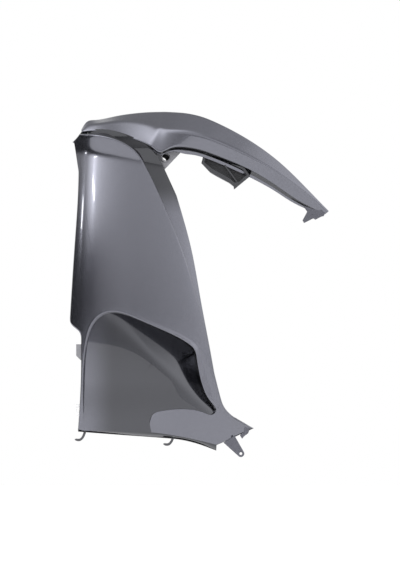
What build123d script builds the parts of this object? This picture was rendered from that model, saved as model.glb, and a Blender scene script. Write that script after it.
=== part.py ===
from build123d import *
import math
import os

# Front side fairing panel of a scooter, seen from its painted side.
# Millimetres. X runs to the right, Z up and Y to the back, so the painted face looks to -Y.
# The origin is the centre of the upper screw hole, on the front of its plate.

# Sheet and edges of the moulding
WALL = 3.0
STEEP_WALL = 4.5
RETURN_DEPTH = 13.0
LEDGE_RETURN = 12.0

# Main face: its nearest point to the eye and how it wraps round the front of the scooter
FACE_FRONT = -38.0
CROWN_X = -55.0
CROWN_Z = -257.0
CROWN_RADIUS_ACROSS = 330.0
CROWN_RADIUS_UP = 1500.0

# The left edge rolls back towards the leg shield, and the right edge towards the front wheel
LEFT_ROLL_IN = 18.0
LEFT_ROLL_SLOPE = 1.1
LEFT_ROLL_SOFT = 14.0
LEFT_LEAN = 0.056
RIGHT_ROLL_IN = 9.0
RIGHT_ROLL_SLOPE = 0.35
RIGHT_ROLL_SOFT = 12.0
RIGHT_LEAN = -0.19
TOP_FLARE_SLOPE = 0.2
TOP_FLARE_SOFT = 9.0
TOP_FLARE_Z = 14.0
TOP_FLARE_LEAN = -0.2

# Recessed flange strip beside the raised face
STRIP_STEP = 9.0
STRIP_FADE_LOW = -350.0
STRIP_FADE_HIGH = -90.0

# Scoop under the sharp lip: a shallow floor, and a slope that falls to the deep upper right corner
SCOOP_STEP = 5.0
SCOOP_SLOPE = 0.6
SCOOP_SOFT = 12.0
SCOOP_FOLD_X = -58.0
SCOOP_FOLD_Z = -322.0
SCOOP_FOLD_ANGLE = 44.4
SCOOP_FADE_LOW = -494.0
SCOOP_FADE_HIGH = -440.0

# Turned-under band along the bottom edge
BAND_BACK = 11.0
BAND_THICK = 4.5
BAND_SET_IN = 0.6

# Upper screw hole: a collar on the gusset plate, leaning down and to the left as it goes back
UPPER_BORE_R = 6.5
UPPER_COLLAR_WALL = 2.5
UPPER_COLLAR_LENGTH = 12.0
UPPER_COLLAR_ROOM = 5.0
UPPER_LEAN_LEFT = 21.0
UPPER_LEAN_DOWN = 24.0
GUSSET_THICK = 3.0

# Lower screw lug
LOWER_BORE_R = 2.6
LOWER_LUG_R = 6.3
LOWER_LUG_THICK = 3.0
LOWER_LUG_X = 135.5
LOWER_LUG_Z = -535.0
LUG_SETBACK = 9.0
LUG_ROOT = [(104, -515), (124, -502)]

# Hooks under the bottom edge, and tabs at the left edge and the tip
HOOK_THICK = 4.2
HOOK_WIDTH = 12.0
HOOK_ROOTS = [(-147.0, -496.0), (12.5, -504.0)]
HOOK_PATH = [(2, 6), (-1, -5), (-8, -13), (-17, -12)]
TIP_TAB_FRONT = 38.0
TAB_THICK = 2.5
TAB_SETBACK = 8.0

# Black bracket behind the arm, its screws and the bosses that take them
BRACKET_FRONT = -4.0
BRACKET_BACK = 18.0
BRACKET_WALL = 2.5
BOSS_R = 4.6
SCREW_R = 1.9
SCREW_HEAD_R = 4.0
SCREW_HEAD_HEIGHT = 2.6
SCREW_DEPTH = 14.0
FIT = 0.15
LEDGE_ROOM = 0.6
SCREW_PLACES = [(88.0, 17.0, -18.5), (126.0, 3.0, -12.0)]

# Longer than any depth of the panel, for cutters that pass right through
REACH = 220.0
CUT_OVER = 1.0

# The depth surfaces are read on this net of places, which is wider than the body
NET_LEFT = -195.0
NET_RIGHT = 180.0
NET_LOW = -550.0
NET_HIGH = 75.0
NET_COLUMNS = 17
NET_ROWS = 27
NET_ERROR = 0.05

# Outline of the body, as (X, Z), from the corner under the arm round to the upper right
LEFT_TOP = [(-153, 46.5), (-157.5, 40.5), (-169.5, 28.5)]
LEFT_SHOULDER = [(-169.5, 28.5), (-162, 16.5), (-158, 2)]
LEFT_UPPER = [(-158, 2), (-158, -41), (-164.5, -158), (-173, -290)]
LEFT_STEP = [(-173, -290), (-172, -298), (-154.5, -316), (-152, -325)]
LEFT_LOWER = [(-152, -325), (-152.5, -394), (-158, -490)]
BOTTOM_TOP_LINE = [(-158, -490), (-70, -492.5), (-25, -495), (15, -501), (61.5, -511), (91.5, -519)]
BOTTOM_LINE = [(-158, -494), (-70, -500), (-3, -505), (24.5, -508), (61.5, -517.5), (91, -529)]
WING_EDGE = [(91.5, -519), (159.5, -490.5)]
RIGHT_LOWER = [(159.5, -490.5), (132.5, -475.5), (116, -463), (105, -449.5), (98, -430), (87.5, -388.5)]
RIGHT_MIDDLE = [(87.5, -388.5), (76, -325.5), (63, -257), (46, -165), (26, -91), (19.5, -69)]
RIGHT_UPPER = [(19.5, -69), (6.5, -40.5), (-2, -22)]

UNDER_ARM = [(-2, -22), (-12, -2), (-32, 20), (-80, 44), (-120, 51), (-153, 46.5)]

# Edge of the raised face, from the left corner over the top and down the right
CONTOUR = [
    (-160, 43), (-127.5, 40.5), (-97.5, 34.5), (-65, 19.5), (-48.5, 4.5), (-38, -12),
    (-14, -61), (10.5, -117), (39.5, -193), (55, -250), (73, -309),
]
STRIP_OUTSIDE = [(90, -309), (90, 60), (-175, 60), (-175, 43), (-160, 43)]

# Sharp lip of the scoop, its rounded end and the low step at its lower right
LIP = [
    (-147.5, -492), (-148.5, -413.5), (-142, -331), (-135.5, -307.5), (-116, -284), (-98.5, -278.5),
    (-53.5, -290), (0.5, -313.5), (40, -335), (51, -345.5), (55.5, -362), (65, -408), (74.5, -431),
    (88.5, -449.5),
]
LOW_STEP = [
    (88.5, -449.5), (90.5, -457), (83, -463), (68, -459.5), (51.5, -454.5), (-5, -455.5),
    (-21, -461), (-28, -474), (-25, -495),
]

# Lines along the arm
TOP, CREASE, LOWER, FOOT, LEDGE = range(5)
ARM_SETBACK = 10.0

# The arm, as stations from the left corner to the tip.
# Each gives X, Y, Z of the top edge, the crease, the lower edge, the foot of the slope and the ledge.
ARM = [
    [(-151, 8, 55.5), (-148, -2, 51), (-147, -4, 46.5), (-147, 3, 45), (-147, 5, 43.5)],
    [(-127.5, 16, 68.5), (-124, -2, 60), (-122, -12, 47.5), (-122, -5, 45.5), (-122, -3, 44)],
    [(-86, 22, 76.5), (-84, 2, 65), (-84, -18, 41), (-84, -11, 38.8), (-84, -9, 37)],
    [(-34, 20, 82.5), (-43, -8, 60.5), (-52, -26, 30.5), (-53, -18, 28), (-54, -16, 26)],
    [(-4, 13, 83), (-20, -22, 53), (-30, -31, 21), (-31, -22, 18), (-32, -20.5, 16)],
    [(22, 5, 81.5), (2, -30, 48), (-11, -33, 8), (-10, -24, 6), (-9.5, -22.5, 4)],
    [(42, 0, 79), (20, -34, 46.5), (7, -33, 15), (8, -23, 11), (9, -21.5, 9.3)],
    [(66, -4.5, 73), (42, -35, 44), (28, -32, 18.5), (29.5, -21.5, 12), (30.5, -20, 6.5)],
    [(96, -7, 60.5), (69, -35, 36.5), (54.5, -30, 15), (53, -19, 8.5), (51.5, -18, 3.5)],
    [(142.5, -4, 36), (112, -29, 19.5), (97.5, -25, 1), (95, -14, -5.5), (92.5, -13, -10)],
    [(196.5, 6, -1), (166, -17, -6), (151.5, -13, -22), (148.5, -3, -29), (146, -2, -33.5)],
    [(241.5, 16, -42), (220, 1, -38.5), (202, 4, -52), (199, 12, -57.5), (197, 13, -60.5)],
    [(274, 25, -75), (258, 17, -67), (241.5, 19, -78), (238.5, 25.5, -82), (236.5, 26, -84.5)],
    [(295, 32.5, -96), (292.5, 30.5, -98.5), (288.5, 31, -101.5), (287, 35.5, -102.5), (285.5, 36.5, -103.5)],
]

GUSSET_PLATE = [
    (-30, 14), (-14, 14), (10, 14), (32, 16), (30, 7), (25.5, 7), (-2, -22), (-8, -34), (-26, -12),
]
LEFT_EAR = [(-148, -336.5), (-161, -336.5), (-161, -357), (-153, -365), (-148, -365)]
LEFT_TONGUE = [(-146, -444.5), (-164.5, -444.5), (-163, -461), (-160, -465.5), (-155.5, -466), (-146, -460)]
TONGUE_SLOT = [(-156, -450), (-161, -450), (-160, -459), (-156, -459)]
TIP_TAB = [
    (246, -84), (255.5, -97.5), (247, -113), (250, -118), (266.5, -109.5), (270.5, -112),
    (280.5, -106.5), (285.5, -105.5), (288, -100), (280, -92),
]
WING_TAB = [(133, -490), (136.5, -499), (134, -503), (138, -509), (141, -505), (149, -499), (153, -488)]
BRACKET_TRAY = [
    (70, 12), (64, -10.5), (80, -27.5), (92, -34.5), (114.5, -46.5), (122, -52.5), (123, -58),
    (135, -48), (152, -34), (142, -20), (96, 4),
]
BRACKET_INSIDE = [
    (74, 5), (69, -9), (82, -20), (116, -39), (124, -46), (132, -44), (146, -32), (138, -22), (96, -2),
]
BRACKET_PLATE = [(70, 12), (78, 26), (96, 26), (116, 13), (134, 12), (142, -20), (96, 4)]
BRACKET_RIB = [(106, -14), (129, -46)]
BRACKET_RIB_THICK = 2.4


def soft_ramp(distance, softness):
    """Nothing well before zero, then the distance itself, with a round bend of this softness."""
    return (math.hypot(distance, softness) + distance) / 2


def fade(value, low, high):
    """A smooth step from 0 at low to 1 at high."""
    share = min(1.0, max(0.0, (value - low) / (high - low)))
    return share * share * (3 - 2 * share)


def face_depth(x, z):
    """Y of the painted main face: a crowned shell, rolled back at its left and right edges."""
    depth = FACE_FRONT
    depth += (x - CROWN_X) ** 2 / (2 * CROWN_RADIUS_ACROSS)
    depth += (z - CROWN_Z) ** 2 / (2 * CROWN_RADIUS_UP)
    left_edge = LEFT_UPPER[0][0] + LEFT_LEAN * (z - LEFT_UPPER[0][1])
    depth += LEFT_ROLL_SLOPE * soft_ramp(left_edge + LEFT_ROLL_IN - x, LEFT_ROLL_SOFT)
    right_edge = RIGHT_MIDDLE[2][0] + RIGHT_LEAN * (z - RIGHT_MIDDLE[2][1])
    depth += RIGHT_ROLL_SLOPE * soft_ramp(x - right_edge + RIGHT_ROLL_IN, RIGHT_ROLL_SOFT)
    flare_line = TOP_FLARE_Z + TOP_FLARE_LEAN * (x - LEFT_UPPER[0][0])
    depth -= TOP_FLARE_SLOPE * soft_ramp(z - flare_line, TOP_FLARE_SOFT)
    return depth


def strip_depth(x, z):
    """Y of the flange strip: the main face set back by a step that dies out further down."""
    return face_depth(x, z) + STRIP_STEP * fade(z, STRIP_FADE_LOW, STRIP_FADE_HIGH)


def scoop_depth(x, z):
    """Y of the scoop's floor: a shallow recess that bends down towards its upper right corner."""
    angle = math.radians(SCOOP_FOLD_ANGLE)
    past_fold = (x - SCOOP_FOLD_X) * math.sin(angle) + (z - SCOOP_FOLD_Z) * math.cos(angle)
    depth = face_depth(x, z) + SCOOP_STEP * fade(z, SCOOP_FADE_LOW, SCOOP_FADE_HIGH)
    return depth + SCOOP_SLOPE * soft_ramp(past_fold, SCOOP_SOFT)


def flat(points):
    return [Vector(x, 0, z) for x, z in points]


def run(points):
    """One edge of an outline: a line through two points, or a smooth curve through more."""
    places = flat(points)
    return Edge.make_line(*places) if len(places) == 2 else Edge.make_spline(places)


def outline(*runs):
    return Face(Wire([run(points) for points in runs]))


def polygon(points):
    closed = flat(points)
    closed.append(closed[0])
    return Face(Wire([Edge.make_line(a, b) for a, b in zip(closed, closed[1:])]))


def beside(points, amount):
    """The same points moved to the line's left, or right for a negative amount, with mitred corners."""
    places = [Vector(x, z) for x, z in points]
    ways = [(after - before).normalized() for before, after in zip(places, places[1:])]
    moved = []
    for place, arriving, leaving in zip(places, ways[:1] + ways, ways + ways[-1:]):
        along = (arriving + leaving).normalized()
        reach = amount / along.dot(leaving)
        moved.append((place.X - along.Y * reach, place.Y + along.X * reach))
    return moved


def band(points, amount, start=0.0):
    """The outline of a strip along a line of points, from one distance beside it to another."""
    near = beside(points, start)
    far = beside(points, amount)[::-1]
    return outline(near, [near[-1], far[0]], far, [far[-1], near[0]])


def bands_inside(runs, amount):
    """A strip along each run of an outline, mitred where the runs meet at a corner."""
    line = [runs[0][0]] + [point for points in runs for point in points[1:]]
    moved = beside(line, amount)
    strips = []
    for points in runs:
        far = moved[:len(points)][::-1]
        moved = moved[len(points) - 1:]
        strips.append(outline(points, [points[-1], far[0]], far, [far[-1], points[0]]))
    return strips


def prism(face, front=-REACH / 2, back=REACH / 2):
    """The outline pushed straight back from one depth to another."""
    return Solid.extrude(face.moved(Location((0, front, 0))), Vector(0, back - front, 0))


def spread(first, last, count):
    """This many evenly spaced values from the first to the last."""
    return [first + (last - first) * i / (count - 1) for i in range(count)]


def slab(depth, thickness, setback=0.0):
    """What lies between a depth surface and the same surface moved back by the thickness."""
    across = spread(NET_LEFT, NET_RIGHT, NET_COLUMNS)
    up = spread(NET_LOW, NET_HIGH, NET_ROWS)
    net = [[Vector(x, depth(x, z) + setback, z) for x in across] for z in up]
    sheet = Face.make_surface_from_array_of_points(net, tol=NET_ERROR, min_deg=3, max_deg=3)
    return Solid.extrude(sheet, Vector(0, thickness, 0))


def body_outline():
    return outline(
        LEFT_TOP, LEFT_SHOULDER, LEFT_UPPER, LEFT_STEP, LEFT_LOWER, BOTTOM_TOP_LINE,
        WING_EDGE, RIGHT_LOWER, RIGHT_MIDDLE, RIGHT_UPPER, UNDER_ARM,
    )


def strip_outline():
    outside = [STRIP_OUTSIDE[i:i + 2] for i in range(len(STRIP_OUTSIDE) - 1)]
    return outline(CONTOUR, [CONTOUR[-1], STRIP_OUTSIDE[0]], *outside)


def scoop_outline():
    low = min(z for _, z in BOTTOM_LINE)
    foot = [LOW_STEP[-1], (LOW_STEP[-1][0], low), (LIP[0][0], low), LIP[0]]
    return outline(LIP, LOW_STEP, foot[:2], foot[1:3], foot[2:])


def bottom_band():
    """The dark band that turns under along the bottom edge, from the face's foot back and down."""
    overlap = WALL / 2
    top = [Vector(x, face_depth(x, z + overlap) + BAND_SET_IN, z + overlap) for x, z in BOTTOM_TOP_LINE]
    foot = [Vector(x, face_depth(x, z) + BAND_BACK, z) for x, z in BOTTOM_LINE]
    sheet = Face.make_surface_from_curves(Edge.make_spline(top), Edge.make_spline(foot))
    return Solid.extrude(sheet, Vector(0, BAND_THICK, 0))


def body_shell():
    """The body's skin in its three depths, the walls between them and the returned edges."""
    body = prism(body_outline())
    strip = prism(strip_outline())
    scoop = prism(scoop_outline())
    behind_face = slab(face_depth, REACH)
    under_step = body & prism(band(CONTOUR, -WALL))
    strip_sheet = slab(strip_depth, WALL)
    skins = [
        slab(face_depth, WALL) & (body - strip - scoop),
        strip_sheet & (body & strip),
        strip_sheet & under_step,
        slab(scoop_depth, WALL) & (body & scoop),
    ]
    strip_wall = (behind_face & under_step) - slab(strip_depth, REACH, WALL / 2)
    behind_scoop = slab(scoop_depth, REACH, WALL)
    lip_walls = [(behind_face & prism(line)) - behind_scoop for line in bands_inside([LIP, LOW_STEP], WALL)]

    left_edges = bands_inside([LEFT_TOP, LEFT_SHOULDER, LEFT_UPPER, LEFT_STEP, LEFT_LOWER], WALL)
    right_edges = bands_inside([WING_EDGE, RIGHT_LOWER, RIGHT_MIDDLE, RIGHT_UPPER], WALL)
    face_slab = slab(face_depth, RETURN_DEPTH)
    strip_slab = slab(strip_depth, RETURN_DEPTH)
    returns = [face_slab & prism(edge) for edge in left_edges + right_edges[:2]]
    returns += [strip_slab & prism(edge) for edge in right_edges[2:]]
    shell = skins[0].fuse(*skins[1:])
    shell = shell.fuse(strip_wall, *lip_walls)
    return shell.fuse(bottom_band(), *returns)


def arm_line(column, inward=0.0):
    """One lengthwise line of the arm, smooth through its stations, or moved in from the edge."""
    points = []
    for station in ARM:
        point = Vector(*station[column]) + Vector(0, ARM_SETBACK, 0)
        middle = Vector(*station[CREASE])
        way = Vector(middle.X - point.X, 0, middle.Z - point.Z)
        points.append(point + way.normalized() * inward if inward else point)
    return Edge.make_spline(points)


def arm_strip(first, second, thickness):
    """The surface between two lengthwise lines, pushed straight back."""
    sheet = Face.make_surface_from_curves(first, second)
    return Solid.extrude(sheet, Vector(0, thickness, 0))


def arm_shell():
    """The arched arm over the lamp opening: top, front, dark slope and ledge, with returned edges."""
    lines = [arm_line(column) for column in range(LEDGE + 1)]
    strips = [
        arm_strip(lines[TOP], lines[CREASE], STEEP_WALL),
        arm_strip(lines[CREASE], lines[LOWER], WALL),
        arm_strip(lines[LOWER], lines[FOOT], STEEP_WALL),
        arm_strip(lines[FOOT], lines[LEDGE], STEEP_WALL),
        arm_strip(lines[TOP], arm_line(TOP, WALL), RETURN_DEPTH),
        arm_strip(lines[LEDGE], arm_line(LEDGE, WALL), LEDGE_RETURN),
    ]
    return strips[0].fuse(*strips[1:])


def collar_frame():
    """The upper screw's own plane, with its axis pointing back, down and to the left."""
    left = math.tan(math.radians(UPPER_LEAN_LEFT))
    down = math.tan(math.radians(UPPER_LEAN_DOWN))
    return Plane(origin=(0, 0, 0), z_dir=(-left, 1, -down))


def collar_rod(radius, start=0.0, length=UPPER_COLLAR_LENGTH):
    """A round bar on the upper screw's axis, as long as its collar unless told otherwise."""
    frame = collar_frame()
    base = Plane(frame.origin + frame.z_dir * start, z_dir=frame.z_dir)
    return Solid.make_cylinder(radius, length, base)


def arm_with_plate():
    """The arm and the flat plate that ties it to the body, with free room before the screw's collar."""
    plate = prism(polygon(GUSSET_PLATE), 0, GUSSET_THICK)
    room = collar_rod(UPPER_BORE_R + UPPER_COLLAR_WALL, -UPPER_COLLAR_ROOM, UPPER_COLLAR_ROOM)
    return arm_shell().fuse(plate) - room


def plate_behind(points, setback, thickness, depth=face_depth):
    """A flat tab set back from the main face, measured at the tab's first corner."""
    front = depth(*points[0]) + setback
    return prism(polygon(points), front, front + thickness)


def lower_lug():
    """The flat tapering lug with the lower screw hole, rooted behind the wing's lower edge."""
    front = face_depth(*LUG_ROOT[0]) + LUG_SETBACK
    centre = Vector(LOWER_LUG_X, 0, LOWER_LUG_Z)
    start, end = flat(LUG_ROOT)
    touches = []
    for root, turn in ((start, 1), (end, -1)):
        away = root - centre
        angle = math.atan2(away.Z, away.X) + turn * math.acos(LOWER_LUG_R / away.length)
        touches.append(centre + Vector(math.cos(angle), 0, math.sin(angle)) * LOWER_LUG_R)
    tip = centre + (centre - (start + end) / 2).normalized() * LOWER_LUG_R
    edges = [
        Edge.make_line(start, touches[0]),
        Edge.make_three_point_arc(touches[0], tip, touches[1]),
        Edge.make_line(touches[1], end),
        Edge.make_line(end, start),
    ]
    return prism(Face(Wire(edges)), front, front + LOWER_LUG_THICK)


def hook(root_x, root_z):
    """A flat strip that leaves the bottom edge downwards and curls to the left at its end."""
    path = [(root_x + dx, root_z + dz) for dx, dz in HOOK_PATH]
    sides = beside(path, HOOK_THICK / 2) + beside(path, -HOOK_THICK / 2)[::-1]
    front = face_depth(root_x, root_z) + BAND_BACK - WALL
    return prism(polygon(sides), front, front + HOOK_WIDTH)


def bosses():
    """Two round bosses on the arm's hidden side, which take the bracket's screws."""
    return [across_rod(x, z, BOSS_R, front, BRACKET_BACK) for x, z, front in SCREW_PLACES]


def across_rod(x, z, radius, front, back):
    """A round bar along Y from front to back."""
    return Solid.make_cylinder(radius, back - front, Plane((x, front, z), z_dir=(0, 1, 0)))


def side_panel():
    """The whole moulding, fused, with its two screw holes and the pilot holes of its bosses."""
    tabs = [
        plate_behind(LEFT_EAR, TAB_SETBACK, TAB_THICK),
        plate_behind(LEFT_TONGUE, TAB_SETBACK, TAB_THICK) - prism(polygon(TONGUE_SLOT)),
        plate_behind(WING_TAB, TAB_SETBACK, TAB_THICK),
        prism(polygon(TIP_TAB), TIP_TAB_FRONT, TIP_TAB_FRONT + TAB_THICK),
        lower_lug(),
    ]
    hooks = [hook(x, z) for x, z in HOOK_ROOTS]
    collar = collar_rod(UPPER_BORE_R + UPPER_COLLAR_WALL)
    panel = body_shell().fuse(arm_with_plate())
    panel = panel.fuse(collar, *bosses(), *tabs, *hooks)
    holes = [
        collar_rod(UPPER_BORE_R),
        across_rod(LOWER_LUG_X, LOWER_LUG_Z, LOWER_BORE_R, -REACH, REACH),
    ]
    for x, z, _ in SCREW_PLACES:
        bottom = BRACKET_BACK - SCREW_DEPTH - CUT_OVER
        holes.append(across_rod(x, z, SCREW_R + FIT, bottom, BRACKET_BACK + CUT_OVER))
    return panel - holes


def lamp_bracket():
    """Black ribbed tray behind the arm: a rim round a back plate, a slanting rib and two screw ears."""
    back = BRACKET_BACK + BRACKET_WALL
    rim = prism(polygon(BRACKET_TRAY), BRACKET_FRONT, back)
    tray = rim - prism(polygon(BRACKET_INSIDE), BRACKET_FRONT - CUT_OVER, BRACKET_BACK)
    rib_outline = band(BRACKET_RIB, BRACKET_RIB_THICK / 2, -BRACKET_RIB_THICK / 2)
    rib = prism(rib_outline, BRACKET_FRONT + BRACKET_WALL, back)
    plate = prism(polygon(BRACKET_PLATE), BRACKET_BACK, back)
    holes = [across_rod(x, z, SCREW_R + FIT, -REACH, REACH) for x, z, _ in SCREW_PLACES]
    crease, lower, foot, ledge = [arm_line(column) for column in (CREASE, LOWER, FOOT, LEDGE)]
    beyond, inside = arm_line(LEDGE, -LEDGE_ROOM), arm_line(LEDGE, WALL + LEDGE_ROOM)
    rooms = [
        arm_strip(crease, lower, WALL + LEDGE_ROOM),
        arm_strip(lower, foot, STEEP_WALL + LEDGE_ROOM),
        arm_strip(foot, ledge, STEEP_WALL + LEDGE_ROOM),
        arm_strip(beyond, inside, LEDGE_RETURN + LEDGE_ROOM),
    ]
    return tray.fuse(rib, plate) - holes - rooms


def bracket_screw(x, z):
    """A self-tapping screw with a flat round head, in from the back through the bracket's ear."""
    seat = BRACKET_BACK + BRACKET_WALL
    shank = across_rod(x, z, SCREW_R, BRACKET_BACK - SCREW_DEPTH, seat)
    return shank.fuse(across_rod(x, z, SCREW_HEAD_R, seat, seat + SCREW_HEAD_HEIGHT))


def write(name, shape):
    export_step(shape, f"parts/{name}.step")


if __name__ == "__main__":
    os.makedirs("parts", exist_ok=True)
    panel = side_panel()
    write("side_panel", panel)
    write("lamp_bracket", lamp_bracket())
    write("bracket_screws", Compound([bracket_screw(x, z) for x, z, _ in SCREW_PLACES]))
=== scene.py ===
import bmesh
import bpy
import numpy as np
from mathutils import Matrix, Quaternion, Vector


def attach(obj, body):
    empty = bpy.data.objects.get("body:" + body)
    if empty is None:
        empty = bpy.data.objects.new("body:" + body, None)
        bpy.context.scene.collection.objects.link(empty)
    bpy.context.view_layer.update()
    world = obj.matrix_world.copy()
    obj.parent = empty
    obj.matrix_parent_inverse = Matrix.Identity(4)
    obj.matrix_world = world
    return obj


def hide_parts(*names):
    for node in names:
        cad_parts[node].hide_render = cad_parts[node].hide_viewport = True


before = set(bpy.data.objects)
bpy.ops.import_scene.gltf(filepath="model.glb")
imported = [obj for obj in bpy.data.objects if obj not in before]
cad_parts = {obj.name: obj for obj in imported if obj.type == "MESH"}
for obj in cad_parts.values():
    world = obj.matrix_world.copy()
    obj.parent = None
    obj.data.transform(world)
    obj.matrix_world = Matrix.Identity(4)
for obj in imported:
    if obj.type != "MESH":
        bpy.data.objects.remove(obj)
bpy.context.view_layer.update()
MM = 0.001

# The painted moulding, main body. One injection-moulded shell of 3 mm plastic: a crowned face that
# rolls back at both sides, a recessed flange strip at its upper right and a deep scoop low down.
# All its edges turn back in a 13 mm flange. Sizes are in millimetres, X right, Y back, Z up.
WALL = 3.0
RETURN_DEPTH = 13.0
EDGE_ROUND = 2.2
LIP_ROUND = 2.4
STRIP_ROUND = 3.0
LIP_FOOT_GAP = 1.0

# The outline and the lip as runs of (X, Z) points that meet at corners, in order round the part
LEFT_LOWER = [(-158, -490), (-152.5, -394), (-152, -325)]
LEFT_STEP = [(-152, -325), (-154.5, -316), (-172, -298), (-173, -290)]
LEFT_UPPER = [(-173, -290), (-164.5, -158), (-158, -41), (-158, 2)]
LEFT_SHOULDER = [(-158, 2), (-158.6, 11.5), (-162.9, 22), (-169.5, 28.5)]
LEFT_TOP = [(-169.5, 28.5), (-157.5, 40.5), (-156, 42.6)]
CONTOUR = [
    (-156, 42.6), (-127.5, 40.5), (-97.5, 34.5), (-65, 19.5), (-48.5, 4.5), (-38, -12),
    (-14, -61), (10.5, -117), (39.5, -193), (55, -250), (72.8, -309),
]
RIGHT_MIDDLE = [(72.8, -309), (76, -325.5), (87.5, -388.5)]
RIGHT_LOWER = [
    (87.5, -388.5), (98, -430), (105, -449.5), (116, -463), (132.5, -475.5), (159.5, -490.5),
]
WING_EDGE = [(159.5, -490.5), (91.5, -519)]
BOTTOM = [(91.5, -519), (61.5, -511), (15, -501), (-25, -495)]
LIP = [
    (-147.5, -492), (-148.5, -413.5), (-142, -331), (-135.5, -307.5), (-116, -284), (-98.5, -278.5),
    (-53.5, -290), (0.5, -313.5), (40, -335), (51, -345.5), (55.5, -362), (65, -408), (74.5, -431),
    (88.5, -449.5),
]
LOW_STEP = [
    (88.5, -449.5), (90.5, -457), (83, -463), (68, -459.5), (51.5, -454.5), (-5, -455.5),
    (-21, -461), (-28, -474), (-25, -495),
]


FINE_STEPS = 60


def smooth_curve(points, count):
    """A natural cubic curve through the points, by chord length, read at evenly spaced places."""
    p = np.asarray(points, float)
    if len(p) == 2:
        return p[0] + (p[1] - p[0]) * np.linspace(0, 1, count)[:, None]
    knots = np.r_[0, np.cumsum(np.linalg.norm(np.diff(p, axis=0), axis=1))]
    h = np.diff(knots)
    system = np.eye(len(p))
    inner = np.arange(1, len(p) - 1)
    system[inner, inner - 1] = h[:-1]
    system[inner, inner] = 2 * (h[:-1] + h[1:])
    system[inner, inner + 1] = h[1:]
    slope = np.diff(p, axis=0) / h[:, None]
    bend = np.zeros_like(p)
    bend[1:-1] = 6 * np.diff(slope, axis=0)
    bend = np.linalg.solve(system, bend)

    def read(t):
        i = np.clip(np.searchsorted(knots, t, side="right") - 1, 0, len(h) - 1)
        b = ((t - knots[i]) / h[i])[:, None]
        a = 1 - b
        cubic = ((a ** 3 - a) * bend[i] + (b ** 3 - b) * bend[i + 1]) * (h[i] ** 2)[:, None] / 6
        return a * p[i] + b * p[i + 1] + cubic

    fine = read(np.linspace(0, knots[-1], FINE_STEPS * len(p)))
    along = np.r_[0, np.cumsum(np.linalg.norm(np.diff(fine, axis=0), axis=1))]
    places = np.linspace(0, along[-1], count)
    return np.stack([np.interp(places, along, fine[:, k]) for k in range(p.shape[1])], axis=1)


def chain(runs, counts):
    """Several smooth curves end to end, each cut into its own count of steps, with corners kept."""
    pieces = [smooth_curve(run, count + 1)[:-1] for run, count in zip(runs, counts)]
    return np.concatenate(pieces + [np.asarray(runs[-1][-1:], float)])


SHARPEST_MITRE = 0.45


def beside(line, amount):
    """A line of (X, Z) points moved to its right by an amount, the same or one for each point."""
    ways = np.diff(line, axis=0)
    ways /= np.linalg.norm(ways, axis=1)[:, None]
    first, last = np.r_[ways[:1], ways], np.r_[ways, ways[-1:]]
    along = first + last
    along /= np.linalg.norm(along, axis=1)[:, None]
    reach = amount / np.maximum(SHARPEST_MITRE, (along * last).sum(axis=1))
    reach = np.broadcast_to(reach, len(line))[:, None]
    return line + np.stack([along[:, 1], -along[:, 0]], axis=1) * reach


def soft_ramp(distance, softness):
    """Nothing well before zero, then the distance itself, with a round bend of this softness."""
    return (np.hypot(distance, softness) + distance) / 2


def fade(value, low, high):
    """A smooth step from 0 at low to 1 at high."""
    share = np.clip((value - low) / (high - low), 0, 1)
    return share * share * (3 - 2 * share)


# The face is foremost at one place and curves away from it on two radii. Its left and right edges
# and the foot of its top flare are straight lines, each given by a point and a lean. A roll has the
# slope that it reaches, how far inside the edge it starts, and how softly.
CROWN_X, CROWN_FRONT, CROWN_Z = -55, -38, -257
CROWN_RADIUS_ACROSS, CROWN_RADIUS_UP = 330, 1500
LEFT_EDGE_X, LEFT_EDGE_Z, LEFT_EDGE_LEAN = -158, 2, 0.056
RIGHT_EDGE_X, RIGHT_EDGE_Z, RIGHT_EDGE_LEAN = 63, -257, -0.19
FLARE_FOOT_X, FLARE_FOOT_Z, FLARE_FOOT_LEAN = -158, 14, -0.2
LEFT_ROLL_SLOPE, LEFT_ROLL_WIDTH, LEFT_ROLL_SOFTNESS = 1.1, 18, 14
RIGHT_ROLL_SLOPE, RIGHT_ROLL_WIDTH, RIGHT_ROLL_SOFTNESS = 0.35, 9, 12
FLARE_SLOPE, FLARE_SOFTNESS = 0.44, 5


def face_depth(x, z):
    """Depth of the main face: a shallow crown, rolled back along both sides and flared forward at
    its top. A crown's depth is the distance squared over twice the radius."""
    depth = CROWN_FRONT + (x - CROWN_X) ** 2 / (2 * CROWN_RADIUS_ACROSS)
    depth = depth + (z - CROWN_Z) ** 2 / (2 * CROWN_RADIUS_UP)
    left_edge = LEFT_EDGE_X + LEFT_EDGE_LEAN * (z - LEFT_EDGE_Z)
    right_edge = RIGHT_EDGE_X + RIGHT_EDGE_LEAN * (z - RIGHT_EDGE_Z)
    flare_foot = FLARE_FOOT_Z + FLARE_FOOT_LEAN * (x - FLARE_FOOT_X)
    left_roll = LEFT_ROLL_SLOPE * soft_ramp(left_edge - x + LEFT_ROLL_WIDTH, LEFT_ROLL_SOFTNESS)
    right_roll = RIGHT_ROLL_SLOPE * soft_ramp(x - right_edge + RIGHT_ROLL_WIDTH, RIGHT_ROLL_SOFTNESS)
    return depth + left_roll + right_roll - FLARE_SLOPE * soft_ramp(z - flare_foot, FLARE_SOFTNESS)


# The steps behind the face, and the two heights between which each grows from nothing
STRIP_STEP, STRIP_STEP_HEIGHTS = 9, (-350, -90)
STRIP_TOP_STEP, STRIP_TOP_HEIGHTS = 5, (10, 42)
SCOOP_STEP, SCOOP_STEP_HEIGHTS = 5, (-494, -400)
SCOOP_FOLD_X, SCOOP_FOLD_Z, SCOOP_FOLD_TURN = -58, -322, np.radians(44.4)
SCOOP_SLOPE, SCOOP_SOFTNESS = 0.6, 8


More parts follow.
